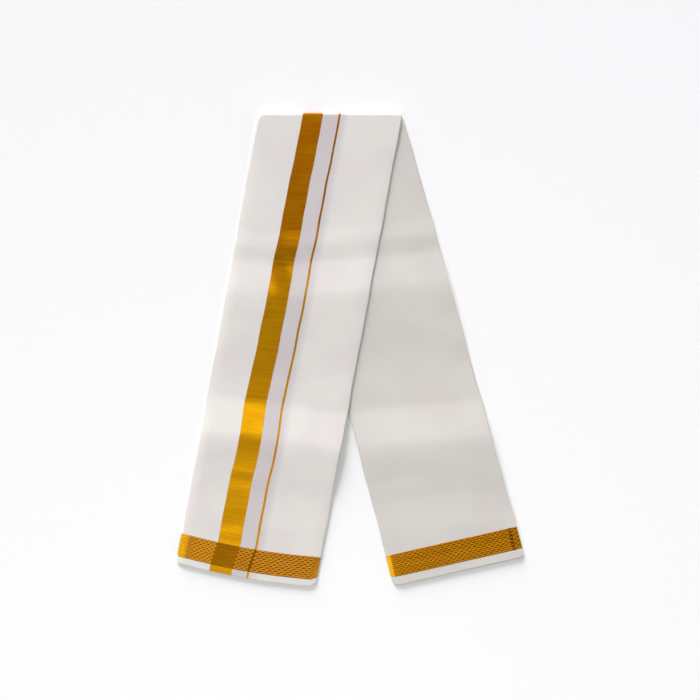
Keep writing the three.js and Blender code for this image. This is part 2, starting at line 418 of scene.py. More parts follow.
def fall_stations(fall):
    """Stations of the plain length of a fall, then of its end band, then of its margin."""
    size = FALLS[fall]
    start, end = side_edge(fall, 0)
    plain = np.linalg.norm(end - start) - size["band"] - size["margin"]
    count = int(round(plain / STEP))
    share = np.arange(count + 1) / count
    band = np.arange(1, BAND_STEPS + 1) / BAND_STEPS * size["band"]
    margin = size["band"] + np.arange(1, MARGIN_STEPS + 1) / MARGIN_STEPS * size["margin"]
    past = np.concatenate([np.zeros(count + 1), band, margin])
    share = np.concatenate([share, np.ones(BAND_STEPS + MARGIN_STEPS)])
    return share, past, count


print("lines across a hidden panel:", PANEL_LINES, "round a fold:", FOLD_STEPS)

# %% [markdown]
# ## Lines and stations become a surface
#
# The section lines and the stations along the fall make a grid. The bend belongs to the front fall,
# whose first stations run round the half circle. Each layer is cut a little shorter or longer at the
# end, as hand-folded cloth always is. The grid's own directions give its normals, which later give
# the sheet its two sides. They are turned round on the back fall, where the cloth lies face down, so
# that the seen side of either fall is the same side of the arrays.

# %% One grid for each fall
BEND_STEPS = 14
BEND_TUCK = 0.0030
TUCK_REACH = 0.014
CORNER_TUCK = (0.0055, 0.0030)
CORNER_RUN = 0.012
TABLE_GAP = 0.00015
EDGE_THIN = {"front": (0.36, 0.24), "back": (0.30, 0.22)}
EDGE_REACH = {"front": (0.018, 0.010), "back": (0.013, 0.012)}
SETTLING = (0.030, 0.110)
END_SHORT = {"bottom": 0.0012, "fold": 0.0004, "inside": 0.0022}
BACK_SHORT = 0.6


def fall_grid(fall):
    share, past, count = fall_stations(fall)
    turn = np.zeros(len(share))
    bend = 0
    if fall == "front":
        bend = BEND_STEPS
        share = np.concatenate([np.zeros(bend), share])
        past = np.concatenate([np.zeros(bend), past])
        turn = np.concatenate([np.pi * (1.0 - np.arange(bend) / bend), turn])
    along = {"share": share, "past": past, "turn": turn}
    names, inset, level = section_lines(fall, along)
    _, _, run, width = both_edges(fall, along)
    near = np.clip(1.0 - (run - BEND_RADIUS * turn) / CORNER_RUN, 0.0, 1.0) ** 2
    near = np.where(turn > 0.0, 1.0, near)
    tuck = BEND_TUCK * np.sin(turn)
    left_tuck = tuck + CORNER_TUCK[0] * near
    right_tuck = tuck + CORNER_TUCK[1] * near
    inset = inset + left_tuck * np.exp(-inset / TUCK_REACH)
    inset = inset - right_tuck * np.exp((inset - width) / TUCK_REACH)
    settled = smoothstep(run, *SETTLING) * (turn <= 0.0)
    thin = EDGE_THIN[fall][0] * (1.0 - smoothstep(inset, 0.0, EDGE_REACH[fall][0]))
    thin = thin + EDGE_THIN[fall][1] * (1.0 - smoothstep(width - inset, 0.0, EDGE_REACH[fall][1]))
    level = level * (1.0 - thin * settled)
    points = cloth_points(fall, inset, level, along)
    short = np.array([END_SHORT.get(name, 0.0) for name in names])
    if fall == "back":
        short = short[::-1] * BACK_SHORT
    size = FALLS[fall]
    near_end = np.clip((past - size["band"]) / size["margin"], 0.0, 1.0) ** 2
    start, end = side_edge(fall, 0)
    down = (end - start) / np.linalg.norm(end - start)
    points[..., :2] -= (short[:, None] * near_end)[..., None] * down
    run = run - BEND_RADIUS * turn
    points[..., 2] = np.maximum(points[..., 2], CLOTH / 2 + TABLE_GAP)
    step_across = np.gradient(points, axis=0)
    step_along = np.gradient(points, axis=1)
    normals = np.cross(step_along, step_across)
    normals /= np.maximum(np.linalg.norm(normals, axis=-1, keepdims=True), 1e-12)
    if fall == "back":
        normals = -normals
    middle = points[:, points.shape[1] // 2]
    lengths = np.linalg.norm(np.diff(middle, axis=0), axis=1)
    return {
        "fall": fall,
        "names": names,
        "points": points,
        "normals": normals,
        "width_at": np.concatenate([[0.0], np.cumsum(lengths)]),
        "run": run,
        "plain_end": bend + count,
        "band_end": bend + count + BAND_STEPS,
        "last": len(share) - 1,
    }


GRIDS = {fall: fall_grid(fall) for fall in FALLS}
for fall, grid in GRIDS.items():
    cut_width = round(float(grid["width_at"][-1]), 3)
    print(fall, "lines and stations", grid["points"].shape[:2], "cut width", cut_width)

# %% [markdown]
# ## A stretch of the grid becomes cloth
#
# Solidify could thicken a sheet, but it rounds the normals where two woven zones meet and shows a
# seam. Here both sides are made from the same grid normals, so neighbouring zones meet exactly, and
# four thin walls close each stretch. Each piece keeps a UV map in real metres, across and along the
# cloth, because the weave must follow the threads and not the table. The far side of a shell has its
# UVs 3 m aside, so that nothing laid on the seen side can land on it.

# %% Thin closed shells
UNDERSIDE_SHIFT = 3.0


def first_line(grid, name):
    return grid["names"].index(name)


def shell_arrays(grid, lines, rows, origin):
    """Vertices, quads and UVs of one closed stretch between two lines and two stations."""
    (k0, k1), (s0, s1) = lines, rows
    points = grid["points"][k0:k1 + 1, s0:s1 + 1]
    normals = grid["normals"][k0:k1 + 1, s0:s1 + 1]
    across, along = points.shape[:2]
    top = (points + normals * CLOTH / 2).reshape(-1, 3)
    under = (points - normals * CLOTH / 2).reshape(-1, 3)
    u = grid["width_at"][k0:k1 + 1] - grid["width_at"][origin]
    v = grid["run"][s0:s1 + 1]
    uv = np.stack(np.meshgrid(u, v, indexing="ij"), axis=-1).reshape(-1, 2)
    index = np.arange(across * along).reshape(across, along)
    low = index + across * along
    a, b, c, d = index[:-1, :-1], index[:-1, 1:], index[1:, 1:], index[1:, :-1]
    quads = [np.stack([a, b, c, d], axis=-1).reshape(-1, 4)]
    a, b, c, d = low[:-1, :-1], low[1:, :-1], low[1:, 1:], low[:-1, 1:]
    quads.append(np.stack([a, b, c, d], axis=-1).reshape(-1, 4))
    sides = [len(quads[0]), len(quads[1])]
    for rim, rim_low, turn in (
        (index[0], low[0], 1),
        (index[-1], low[-1], -1),
        (index[:, 0], low[:, 0], -1),
        (index[:, -1], low[:, -1], 1),
    ):
        rim, rim_low = rim[::turn], rim_low[::turn]
        quads.append(np.stack([rim[1:], rim[:-1], rim_low[:-1], rim_low[1:]], axis=-1))
    quads = np.concatenate(quads)
    if grid["fall"] == "back":
        quads = quads[:, ::-1]
    away = np.zeros(len(quads))
    away[sides[0]:sides[0] + sides[1]] = UNDERSIDE_SHIFT
    return np.concatenate([top, under]), quads, np.concatenate([uv, uv]), away


def new_object(name, data):
    made = bpy.data.objects.new(name, data)
    bpy.context.scene.collection.objects.link(made)
    return made


def mesh_object(name, parts):
    """One object from several stretches, with flat walls and smooth faces."""
    vertices, quads, uvs, aways = zip(*parts)
    offsets = np.cumsum([0, *(len(block) for block in vertices[:-1])])
    faces = np.concatenate([block + offset for block, offset in zip(quads, offsets)])
    mesh = bpy.data.meshes.new(name)
    mesh.from_pydata(np.concatenate(vertices).tolist(), [], faces.tolist())
    layer = mesh.uv_layers.new(name="cloth")
    corners = np.empty(len(mesh.loops), np.int32)
    mesh.loops.foreach_get("vertex_index", corners)
    corner_uv = np.concatenate(uvs)[corners]
    corner_uv[:, 0] += np.repeat(np.concatenate(aways), 4)
    layer.data.foreach_set("uv", corner_uv.ravel())
    mesh.shade_smooth()
    mesh.set_sharp_from_angle(angle=math.radians(50))
    return new_object(name, mesh)


print("shell thickness", CLOTH)

# %% [markdown]
# ## The materials
#
# Cotton and zari carry the whole cloth. Their patterns read the piece's UV map in metres, and every
# uniform value is set on the shader itself. A small class keeps the node trees short to write.

# %% Material helpers
class Tree:
    """Short ways to add and link the nodes of a node tree."""

    def __init__(self, group):
        self.group = group

    def link(self, output, node, socket):
        self.group.links.new(output, node.inputs[socket])

    def node(self, kind, inputs=None, **settings):
        node = self.group.nodes.new(kind)
        for key, value in settings.items():
            setattr(node, key, value)
        for socket, value in (inputs or {}).items():
            if isinstance(value, bpy.types.NodeSocket):
                self.link(value, node, socket)
            else:
                node.inputs[socket].default_value = value
        return node

    def out(self, kind, inputs=None, **settings):
        return self.node(kind, inputs, **settings).outputs[0]

    def math(self, operation, *values):
        return self.out("ShaderNodeMath", dict(enumerate(values)), operation=operation)

    def plus(self, first, second):
        return self.math("ADD", first, second)

    def minus(self, first, second):
        return self.math("SUBTRACT", first, second)

    def times(self, first, second):
        return self.math("MULTIPLY", first, second)

    def over(self, first, second):
        return self.math("DIVIDE", first, second)

    def vector(self, x, y, z=0.0):
        return self.out("ShaderNodeCombineXYZ", {0: x, 1: y, 2: z})

    def sum(self, first, second):
        return self.out("ShaderNodeVectorMath", {0: first, 1: second}, operation="ADD")


def new_material(name, color, roughness, **more):
    material = bpy.data.materials.new(name)
    material.use_nodes = True
    shader = material.node_tree.nodes["Principled BSDF"]
    values = {"Base Color": (*color, 1.0), "Roughness": roughness, **more}
    for key, value in values.items():
        shader.inputs[key].default_value = value
    return material, Tree(material.node_tree), shader


def mix_colors(tree, share, first, second):
    """A mix of two tones. Each is a socket or three numbers."""
    tones = [tone if isinstance(tone, bpy.types.NodeSocket) else (*tone, 1.0) for tone in (first, second)]
    values = {0: share, 6: tones[0], 7: tones[1]}
    return tree.node("ShaderNodeMix", values, data_type="RGBA", clamp_factor=True).outputs[2]


def cloth_uv(tree):
    """The piece's UV map in metres, whole and as across and along."""
    uv = tree.out("ShaderNodeUVMap", uv_map="cloth")
    split = tree.node("ShaderNodeSeparateXYZ", {0: uv})
    return uv, split.outputs[0], split.outputs[1]


def noise(tree, vector, scale, detail=2.0, stretch=(1.0, 1.0, 1.0), roughness=0.5):
    place = tree.out("ShaderNodeMapping", {0: vector, "Scale": stretch})
    values = {"Vector": place, "Scale": scale, "Detail": detail, "Roughness": roughness}
    return tree.out("ShaderNodeTexNoise", values)


def ramp(tree, value, low, high, start=0.0, stop=1.0):
    values = {0: value, 1: low, 2: high, 3: start, 4: stop}
    return tree.out("ShaderNodeMapRange", values, interpolation_type="SMOOTHSTEP")


def plain_weave(tree, across, along, pitch):
    """Height of a plain weave: over and under where warp and weft cross."""
    warp = tree.math("SINE", tree.times(across, math.pi / pitch))
    weft = tree.math("SINE", tree.times(along, math.pi / pitch))
    return tree.math("ABSOLUTE", tree.times(warp, weft))


def bump(tree, shader, height, strength, distance):
    values = {"Height": height, "Strength": strength, "Distance": distance}
    tree.link(tree.out("ShaderNodeBump", values), shader, "Normal")


print("material helpers ready")

# %% [markdown]
# ## Cotton
#
# Cotton is matt and faintly uneven in tone, with a plain weave. Beside the gold line it has a lilac
# cast, which fades with the distance across the cloth. The back fall's cotton is a darker copy of
# the same cotton: painted shade.

# %% Cotton, plain and with the lilac cast
COTTON_PITCH = 0.00042
COTTON_GLOSS = {"Sheen Weight": 0.10, "Sheen Roughness": 0.45, "Specular IOR Level": 0.25}
IVORY = (0.783, 0.757, 0.712)
WARM = (0.762, 0.722, 0.695)
LILAC = (0.610, 0.555, 0.565)
LILAC_REACH = 0.022
SLUB_LONG = 14.0
SLUB_FINE = 900.0
SLUB_SHARE = 0.07
SLUB_TONE = (0.52, 0.49, 0.44)


def cotton(name, color, warm, cast=False):
    material, tree, shader = new_material(name, color, 0.88, **COTTON_GLOSS)
    uv, across, along = cloth_uv(tree)
    patches = ramp(tree, noise(tree, uv, 9.0, 1.5), 0.38, 0.62)
    tone = mix_colors(tree, patches, color, warm)
    if cast:
        edge = ramp(tree, across, 0.002, LILAC_REACH, 0.70, 0.0)
        tone = mix_colors(tree, edge, tone, LILAC)
    weft_slub = noise(tree, uv, 1.0, 3.0, (SLUB_LONG, SLUB_FINE, 1.0))
    warp_slub = noise(tree, uv, 1.0, 3.0, (SLUB_FINE, SLUB_LONG, 1.0))
    slub = tree.plus(ramp(tree, weft_slub, 0.3, 0.7), ramp(tree, warp_slub, 0.3, 0.7))
    tone = mix_colors(tree, ramp(tree, slub, 0.2, 1.8, 0.0, SLUB_SHARE), tone, SLUB_TONE)
    tree.link(tone, shader, "Base Color")
    height = tree.plus(plain_weave(tree, across, along, COTTON_PITCH), tree.times(slub, 0.7))
    bump(tree, shader, height, 0.35, 0.00012)
    return material


COTTON = cotton("cotton", IVORY, WARM)
# The back fall's cotton, the same cloth a little darker: painted shade.
COTTON_BACK_SHADED = cotton("cotton_back_painted_shade", (0.690, 0.668, 0.618), (0.672, 0.636, 0.600))
COTTON_CAST = cotton("cotton_beside_line", IVORY, WARM, cast=True)
LILAC_COTTON = cotton("lilac_cotton", LILAC, (0.640, 0.590, 0.585))
print("cotton pitch", COTTON_PITCH)

# %% [markdown]
# ## Zari
#
# Zari is metal-wrapped thread, so its colour comes mostly from what it mirrors. The patterned band is
# the same gold with a darker ground between its raised threads. Towards the bend the gold is painted
# deeper and more orange: a painted shade along the cloth.

# %% Zari
ZARI_PITCH = 0.00050
# Along the cloth, where the painted shade towards the bend is full and where it has gone.
PAINTED_SHADE_FULL_UNTIL = 0.15
PAINTED_SHADE_GONE_FROM = 0.43
WEFT_STREAKS = (9.0, 420.0, 1.0)
BROAD_STREAKS = (0.4, 1.0, 1.0)


def zari(name, light, deep, roughness, metallic, bend_shade=0.30, relief=0.00003):
    """Gold thread in two tones. The sixth argument is how much more of the deep tone lies near the bend,
    a painted shade.
    """
    gloss = {"Metallic": metallic, "Specular IOR Level": 0.0}
    material, tree, shader = new_material(name, light, roughness, **gloss)
    uv, across, along = cloth_uv(tree)
    weft = noise(tree, uv, 1.0, 3.0, WEFT_STREAKS, 0.60)
    broad = noise(tree, uv, 30.0, 2.0, BROAD_STREAKS)
    fine = ramp(tree, weft, 0.32, 0.68, 0.0, 0.35)
    wide = ramp(tree, broad, 0.3, 0.7, 0.0, 0.15)
    # Painted shade: more of the deep tone towards the bend.
    far = ramp(tree, along, PAINTED_SHADE_FULL_UNTIL, PAINTED_SHADE_GONE_FROM, bend_shade, 0.0)
    tone = mix_colors(tree, tree.plus(tree.plus(fine, wide), far), light, deep)
    tree.link(tone, shader, "Base Color")
    height = tree.plus(plain_weave(tree, across, along, ZARI_PITCH), tree.times(weft, 2.0))
    bump(tree, shader, height, 0.5, relief)
    return material


# The sixth number of each gold is its painted shade towards the bend.
ZARI = zari("zari", (0.56, 0.265, 0.003), (0.26, 0.080, 0.001), 0.36, 0.82, 0.60)
BORDER_RIB = zari("border_rib", (0.59, 0.288, 0.004), (0.36, 0.112, 0.001), 0.29, 0.82, 0.66, 0.000006)
CROSSING = zari("crossing_ground", (0.20, 0.070, 0.001), (0.15, 0.050, 0.001), 0.42, 0.65)
BAND_GROUND = zari("band_ground", (0.15, 0.045, 0.001), (0.10, 0.028, 0.001), 0.60, 0.4)
UNDER_BAND = zari("under_band", (0.42, 0.170, 0.005), (0.26, 0.090, 0.002), 0.45, 0.65, 0.0)
BAND_THREAD = zari("band_thread", (0.61, 0.256, 0.015), (0.51, 0.208, 0.011), 0.42, 0.70)
WIDE_THREAD = zari("wide_band_thread", (0.515, 0.211, 0.015), (0.395, 0.155, 0.011), 0.42, 0.70)
# Lighter golds that paint a highlight on the band ends at the folds.
PAINTED_HIGHLIGHT_GOLD = zari("painted_highlight_thread", (0.92, 0.46, 0.008), (0.76, 0.34, 0.006), 0.40, 0.60, 0.0)
HALF_PAINTED_HIGHLIGHT_GOLD = zari("half_painted_highlight_thread", (0.78, 0.36, 0.012), (0.66, 0.28, 0.009), 0.40, 0.65, 0.0)
BACK_THREAD = zari("back_band_thread", (0.44, 0.177, 0.005), (0.345, 0.130, 0.004), 0.42, 0.70)
HATCH = zari("crossing_hatch", (0.47, 0.195, 0.003), (0.33, 0.130, 0.002), 0.40, 0.75)
print("zari pitch", ZARI_PITCH)

# %% [markdown]
# ## The two falls
#
# With the grid, the shells and the finishes ready, each fall is a list of zones. The cotton keeps all
# the folded layers, so the side view shows real folds and the free selvedges between them. The gold
# zones are stretches of the same sheet, flush with the cotton beside them.

# %% Front fall
def cloth_piece(name, grid, pairs, material, slot, *nodes, band=False):
    """The cloth between pairs of lines: its end band, or its plain length and its margin."""
    plain_end, band_end = grid["plain_end"], grid["band_end"]
    stretches = [(plain_end, band_end)] if band else [(0, plain_end), (band_end, grid["last"])]
    parts = []
    for start, stop in pairs:
        k0 = first_line(grid, start)
        k1 = len(grid["names"]) - 1 if stop is None else first_line(grid, stop)
        for rows in stretches:
            parts.append(shell_arrays(grid, (k0, k1), rows, 0 if band else k0))
    piece = mesh_object(name, parts)
    piece.data.materials.append(material)
    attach(piece, "root")
    if nodes:
        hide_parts(*nodes)
    print(name, "faces:", len(piece.data.polygons))
    return piece


front = GRIDS["front"]
front_cloth = cloth_piece(
    "front_cloth", front, [("bottom", "border"), ("right_fold", None)], COTTON, "cotton",
    "front_ground_left", "front_margin_left", "front_inner_layers",
)
front_cast = cloth_piece(
    "front_cloth_beside_line", front, [("ground_right", "right_fold")], COTTON_CAST, "cotton",
    "front_ground_right", "front_margin_right",
)
front_border = cloth_piece(
    "front_border", front, [("border", "lilac")], ZARI, "zari",
    "front_zari_border", "front_margin_zari",
)
front_lilac = cloth_piece(
    "front_lilac", front, [("lilac", "line")], LILAC_COTTON, "lilac_white",
    "front_white_stripe", "front_margin_mid",
)
front_line = cloth_piece(
    "front_line", front, [("line", "ground_right")], ZARI, "zari",
    "front_zari_line", "front_margin_line",
)
front_band = cloth_piece(
    "front_band_cloth", front, [("fold", "border"), ("lilac", "line"), ("ground_right", None)],
    BAND_GROUND, "zari", "front_end_band", band=True,
)
front_under_band = cloth_piece(
    "front_under_band", front, [("bottom", "fold")], UNDER_BAND, "zari", band=True
)
front_crossing = cloth_piece(
    "front_band_crossings", front, [("border", "lilac"), ("line", "ground_right")],
    CROSSING, "zari", band=True,
)

# %% [markdown]
# ## The back fall
#
# The cloth lies face down here, so its border, stripe and line are on the underside. The same lines
# serve, with the levels of the stack turned over.

# %% Back fall
back = GRIDS["back"]
back_cloth = cloth_piece(
    "back_cloth", back, [("bottom", "border"), ("ground_right", None)], COTTON_BACK_SHADED, "cotton",
    "back_ground", "back_margin", "back_inner_layers",
)
back_border = cloth_piece("back_under_border", back, [("border", "lilac")], ZARI, "zari")
back_lilac = cloth_piece("back_under_lilac", back, [("lilac", "line")], LILAC_COTTON, "lilac_white")
back_line = cloth_piece("back_under_line", back, [("line", "ground_right")], ZARI, "zari")
back_band = cloth_piece(
    "back_band_cloth", back, [("bottom", "ground_left")], BAND_GROUND, "zari",
    "back_end_band", band=True,
)
back_under_band = cloth_piece(
    "back_under_band", back, [("ground_left", None)], UNDER_BAND, "zari", band=True
)

# %% [markdown]
# ## Threads laid on the cloth
#
# The end bands, the border and their crossing all have raised rows of threads, so one node tree makes
# them. It lays rows out in the cloth's UV plane, finds where that plane lies in the folded cloth, and
# sweeps a flat oval along each row. Each thread keeps its own place in that plane as its UV map, so
# the tone changes from thread to thread.

# %% Node tree: rows of threads
THREAD_INPUTS = {
    "Object": ["Cloth"],
    "Float": [
        "Across Start", "Across Stop", "Along Start", "Along Stop", "Turn", "Row Pitch", "Point Step",
        "Wave Length", "Wave Height", "Ease In", "Ease Out", "Wobble", "Wobble Length",
        "Thread Width", "Thread Height", "Lift",
    ],
    "Int": ["Profile Points", "Seed"],
    "Material": ["Material"],
}
SLACK = 0.00002
SHORTEST_EASE = 0.0001
EASED_SWELL = 0.20
ROW_CHANGE = 0.37


def thread_tree():
    group = bpy.data.node_groups.new("threads_on_cloth", "GeometryNodeTree")
    for kind, names in THREAD_INPUTS.items():
        for name in names:
            group.interface.new_socket(name, in_out="INPUT", socket_type="NodeSocket" + kind)
    group.interface.new_socket("Threads", in_out="OUTPUT", socket_type="NodeSocketGeometry")
    tree = Tree(group)
    given = group.nodes.new("NodeGroupInput").outputs
    made = group.nodes.new("NodeGroupOutput")

    cloth = tree.node("GeometryNodeObjectInfo", {"Object": given["Cloth"]}).outputs["Geometry"]
    wide = tree.minus(given["Across Stop"], given["Across Start"])
    tall = tree.minus(given["Along Stop"], given["Along Start"])
    middle_u = tree.plus(given["Across Start"], tree.times(wide, 0.5))
    middle_v = tree.plus(given["Along Start"], tree.times(tall, 0.5))
    cosine = tree.math("COSINE", given["Turn"])
    sine = tree.math("SINE", given["Turn"])
    slope = tree.math("ABSOLUTE", sine)
    reach = tree.plus(tree.times(wide, cosine), tree.times(tall, slope))
    depth = tree.plus(tree.times(tall, cosine), tree.times(wide, slope))
    columns = tree.math("CEIL", tree.over(reach, given["Point Step"]))
    columns = tree.plus(columns, 1.0)
    rows = tree.math("ROUND", tree.over(depth, given["Row Pitch"]))
    count = tree.times(rows, columns)

    points = tree.out("GeometryNodePoints", {"Count": count})
    index = tree.out("GeometryNodeInputIndex")
    row = tree.math("FLOOR", tree.over(tree.plus(index, 0.5), columns))
    column = tree.minus(index, tree.times(row, columns))
    last_column = tree.minus(columns, 1.0)
    share = tree.minus(tree.over(column, last_column), 0.5)
    along_row = tree.times(share, reach)
    last_row = tree.minus(rows, 1.0)
    off = tree.minus(row, tree.times(last_row, 0.5))
    off = tree.times(off, given["Row Pitch"])
    turns = tree.over(along_row, given["Wave Length"])
    phase = tree.plus(tree.times(turns, math.tau), tree.times(row, math.pi))
    eased = 1.0
    for key, side in (("Ease In", share), ("Ease Out", tree.times(share, -1.0))):
        from_edge = tree.times(tree.plus(side, 0.5), reach)
        part = tree.over(from_edge, tree.math("MAXIMUM", given[key], SHORTEST_EASE))
        eased = tree.times(eased, tree.math("MINIMUM", part, 1.0))
    eased = tree.times(eased, eased)
    swelled = tree.times(eased, EASED_SWELL)
    thicker = tree.minus(1.0 + EASED_SWELL, swelled)
    wave = tree.times(tree.math("SINE", phase), given["Wave Height"])
    wave = tree.times(wave, eased)
    far = tree.over(along_row, given["Wobble Length"])
    place = tree.vector(far, tree.times(row, ROW_CHANGE), given["Seed"])
    rough = tree.out("ShaderNodeTexNoise", {"Vector": place, "Scale": 1.0, "Detail": 1.0})
    rough = tree.times(tree.minus(rough, 0.5), given["Wobble"])
    off = tree.plus(off, tree.plus(wave, rough))

    turned_u = tree.minus(tree.times(along_row, cosine), tree.times(off, sine))
    turned_v = tree.plus(tree.times(along_row, sine), tree.times(off, cosine))
    u = tree.plus(middle_u, turned_u)
    v = tree.plus(middle_v, turned_v)
    uv_map = tree.out("GeometryNodeInputNamedAttribute", {"Name": "cloth"}, data_type="FLOAT_VECTOR")
    position = tree.out("GeometryNodeInputPosition")
    normal = tree.out("GeometryNodeInputNormal")
    uv = tree.vector(u, v)
    found = []
    for field in (position, normal):
        values = {"Mesh": cloth, "Value": field, "Source UV Map": uv_map, "Sample UV": uv}
        found.append(tree.node("GeometryNodeSampleUVSurface", values, data_type="FLOAT_VECTOR"))
    spot, facing = found[0].outputs[0], found[1].outputs[0]
    lift = tree.out("ShaderNodeVectorMath", {0: facing, "Scale": given["Lift"]}, operation="SCALE")
    place = tree.sum(spot, lift)

    beside = [
        tree.math("LESS_THAN", u, tree.minus(given["Across Start"], SLACK)),
        tree.math("GREATER_THAN", u, tree.plus(given["Across Stop"], SLACK)),
        tree.math("LESS_THAN", v, tree.minus(given["Along Start"], SLACK)),
        tree.math("GREATER_THAN", v, tree.plus(given["Along Stop"], SLACK)),
        tree.minus(1.0, found[0].outputs[1]),
    ]
    outside = beside[0]
    for test in beside[1:]:
        outside = tree.math("MAXIMUM", outside, test)

    kept = tree.node("GeometryNodeCaptureAttribute", {"Geometry": points})
    for kind, name, field in (
        ("INT", "row", row),
        ("VECTOR", "facing", facing),
        ("FLOAT", "outside", outside),
        ("FLOAT", "radius", thicker),
        ("VECTOR", "uv", uv),
    ):
        kept.capture_items.new(kind, name)
        tree.link(field, kept, name)
    placed = tree.out(
        "GeometryNodeSetPosition", {"Geometry": kept.outputs["Geometry"], "Position": place}
    )
    inside = tree.out(
        "GeometryNodeDeleteGeometry", {"Geometry": placed, "Selection": kept.outputs["outside"]}
    )
    curves = tree.out(
        "GeometryNodePointsToCurves", {"Points": inside, "Curve Group ID": kept.outputs["row"]}
    )
    curves = tree.out(
        "GeometryNodeSetCurveNormal", {"Curve": curves, "Normal": kept.outputs["facing"]}, mode="FREE"
    )
    curves = tree.out("GeometryNodeSetCurveRadius", {"Curve": curves, "Radius": kept.outputs["radius"]})
    circle = tree.out(
        "GeometryNodeCurvePrimitiveCircle", {"Resolution": given["Profile Points"], "Radius": 0.5}
    )
    oval = tree.vector(given["Thread Height"], given["Thread Width"], 1.0)
    profile = tree.out("GeometryNodeTransform", {"Geometry": circle, "Scale": oval})
    section = tree.node("GeometryNodeCaptureAttribute", {"Geometry": profile})
    section.capture_items.new("VECTOR", "spot")
    tree.link(position, section, "spot")
    swept = tree.out(
        "GeometryNodeCurveToMesh",
        {"Curve": curves, "Profile Curve": section.outputs["Geometry"], "Fill Caps": True},
    )
    aside = tree.node("ShaderNodeSeparateXYZ", {0: section.outputs["spot"]}).outputs[1]
    own_uv = tree.sum(kept.outputs["uv"], tree.vector(0.0, aside))
    swept = tree.out(
        "GeometryNodeStoreNamedAttribute",
        {"Geometry": swept, "Name": "cloth", "Value": own_uv},
        data_type="FLOAT2",
        domain="CORNER",
    )
    swept = tree.out("GeometryNodeSetShadeSmooth", {"Geometry": swept})
    real = tree.out("GeometryNodeRealizeInstances", {"Geometry": swept})
    done = tree.out("GeometryNodeSetMaterial", {"Geometry": real, "Material": given["Material"]})
    tree.link(done, made, 0)
    return group


THREADS = thread_tree()
print("inputs of the tree:", sum(len(names) for names in THREAD_INPUTS.values()))


# %% [markdown]
# ## Threads become a piece
#
# A modifier could stay live, but an exported piece needs a mesh of its own, so the tree's result is
# baked and the modifier is removed.

# %% Lay threads and bake them
LAID = {"front": [], "back": []}


def socket_id(name):
    for item in THREADS.interface.items_tree:
        if item.name == name and item.in_out == "INPUT":
            return item.identifier
    raise KeyError(name)


def threads(name, fall, cloth, material, values):
    """Lays the tree's threads on a cloth piece and bakes them as a piece of their own."""
    carrier = new_object(name, bpy.data.meshes.new(name + "_start"))
    modifier = carrier.modifiers.new("threads", "NODES")
    modifier.node_group = THREADS
    modifier[socket_id("Cloth")] = cloth
    modifier[socket_id("Material")] = material
    for key, value in values.items():
        modifier[socket_id(key)] = value
    graph = bpy.context.evaluated_depsgraph_get()
    mesh = bpy.data.meshes.new_from_object(carrier.evaluated_get(graph), depsgraph=graph)
    carrier.modifiers.remove(modifier)
    carrier.data = mesh
    mesh.name = name
    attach(carrier, "root")
    LAID[fall].append(carrier)
    print(name, "triangles:", sum(len(face.vertices) - 2 for face in mesh.polygons))


# %% [markdown]
# ## The honeycomb bands
#
# Every thread waves from side to side, and each next one waves the other way, so they touch, part and
# leave small dark lenses between them. Where a band turns down to a fold its threads are a piece of
# their own, straighter and of a lighter gold: a painted highlight of the light the fold mirrors.

# %% Honeycomb threads of the end bands
BAND_THREADS = {
    "Turn": 0.0,
    "Row Pitch": 0.0042,
    "Point Step": 0.0011,
    "Wave Length": 0.0114,
    "Wave Height": 0.00066,
    "Wobble": 0.0005,
    "Wobble Length": 0.020,
    "Thread Width": 0.0033,
    "Thread Height": 0.00022,
    "Lift": 0.00005,
    "Profile Points": 8,
}
SELVEDGE_COLUMN = {"inset": 0.0150, "half": 0.0030}
EDGE_TURN = 0.0075
# Band ends at the folds in a lighter gold, a painted highlight: span, side, width and gold.
PAINTED_HIGHLIGHT_ENDS = {
    "front": [
        (0, "left", 0.0110, PAINTED_HIGHLIGHT_GOLD),
        (0, "left", 0.0065, HALF_PAINTED_HIGHLIGHT_GOLD),
        (2, "right", 0.0060, HALF_PAINTED_HIGHLIGHT_GOLD),
    ],
    "back": [(1, "right", 0.0065, PAINTED_HIGHLIGHT_GOLD), (1, "right", 0.0030, HALF_PAINTED_HIGHLIGHT_GOLD)],
}
EASES = {
    "front": [{"Ease In": 0.018}, {}, {"Ease Out": 0.008}],
    "back": [{}, {"Ease Out": 0.014}],
}


def line_at(grid, name):
    return float(grid["width_at"][first_line(grid, name)])


def band_spans(fall):
    """Stretches of a band's seen side between its crossings, in metres across the open cloth."""
    grid = GRIDS[fall]
    if fall == "front":
        return [
            (line_at(grid, "fold") + EDGE_TURN, line_at(grid, "border")),
            (line_at(grid, "lilac"), line_at(grid, "line")),
            (line_at(grid, "ground_right"), line_at(grid, "right_fold") + EDGE_TURN),
        ]
    column, half = SELVEDGE_COLUMN["inset"], SELVEDGE_COLUMN["half"]
    return [(0.0, column - half), (column + half, line_at(grid, "fold") + EDGE_TURN)]


def band_threads(name, fall, cloth, material, span, changes):
    grid = GRIDS[fall]
    values = dict(BAND_THREADS)
    values["Across Start"], values["Across Stop"] = span
    values["Along Start"] = float(grid["run"][grid["plain_end"]])
    values["Along Stop"] = float(grid["run"][grid["band_end"]])
    values.update(changes)
    threads(name, fall, cloth, material, values)


def split_spans(fall):
    """The spans without their ends of painted highlight, and those ends by themselves."""
    spans = band_spans(fall)
    ends = []
    for number, side, width, gold in PAINTED_HIGHLIGHT_ENDS[fall]:
        low, high = spans[number]
        if side == "left":
            ends.append((low, low + width, gold))
            spans[number] = (low + width, high)
        else:
            ends.append((high - width, high, gold))
            spans[number] = (low, high - width)
    return spans, ends


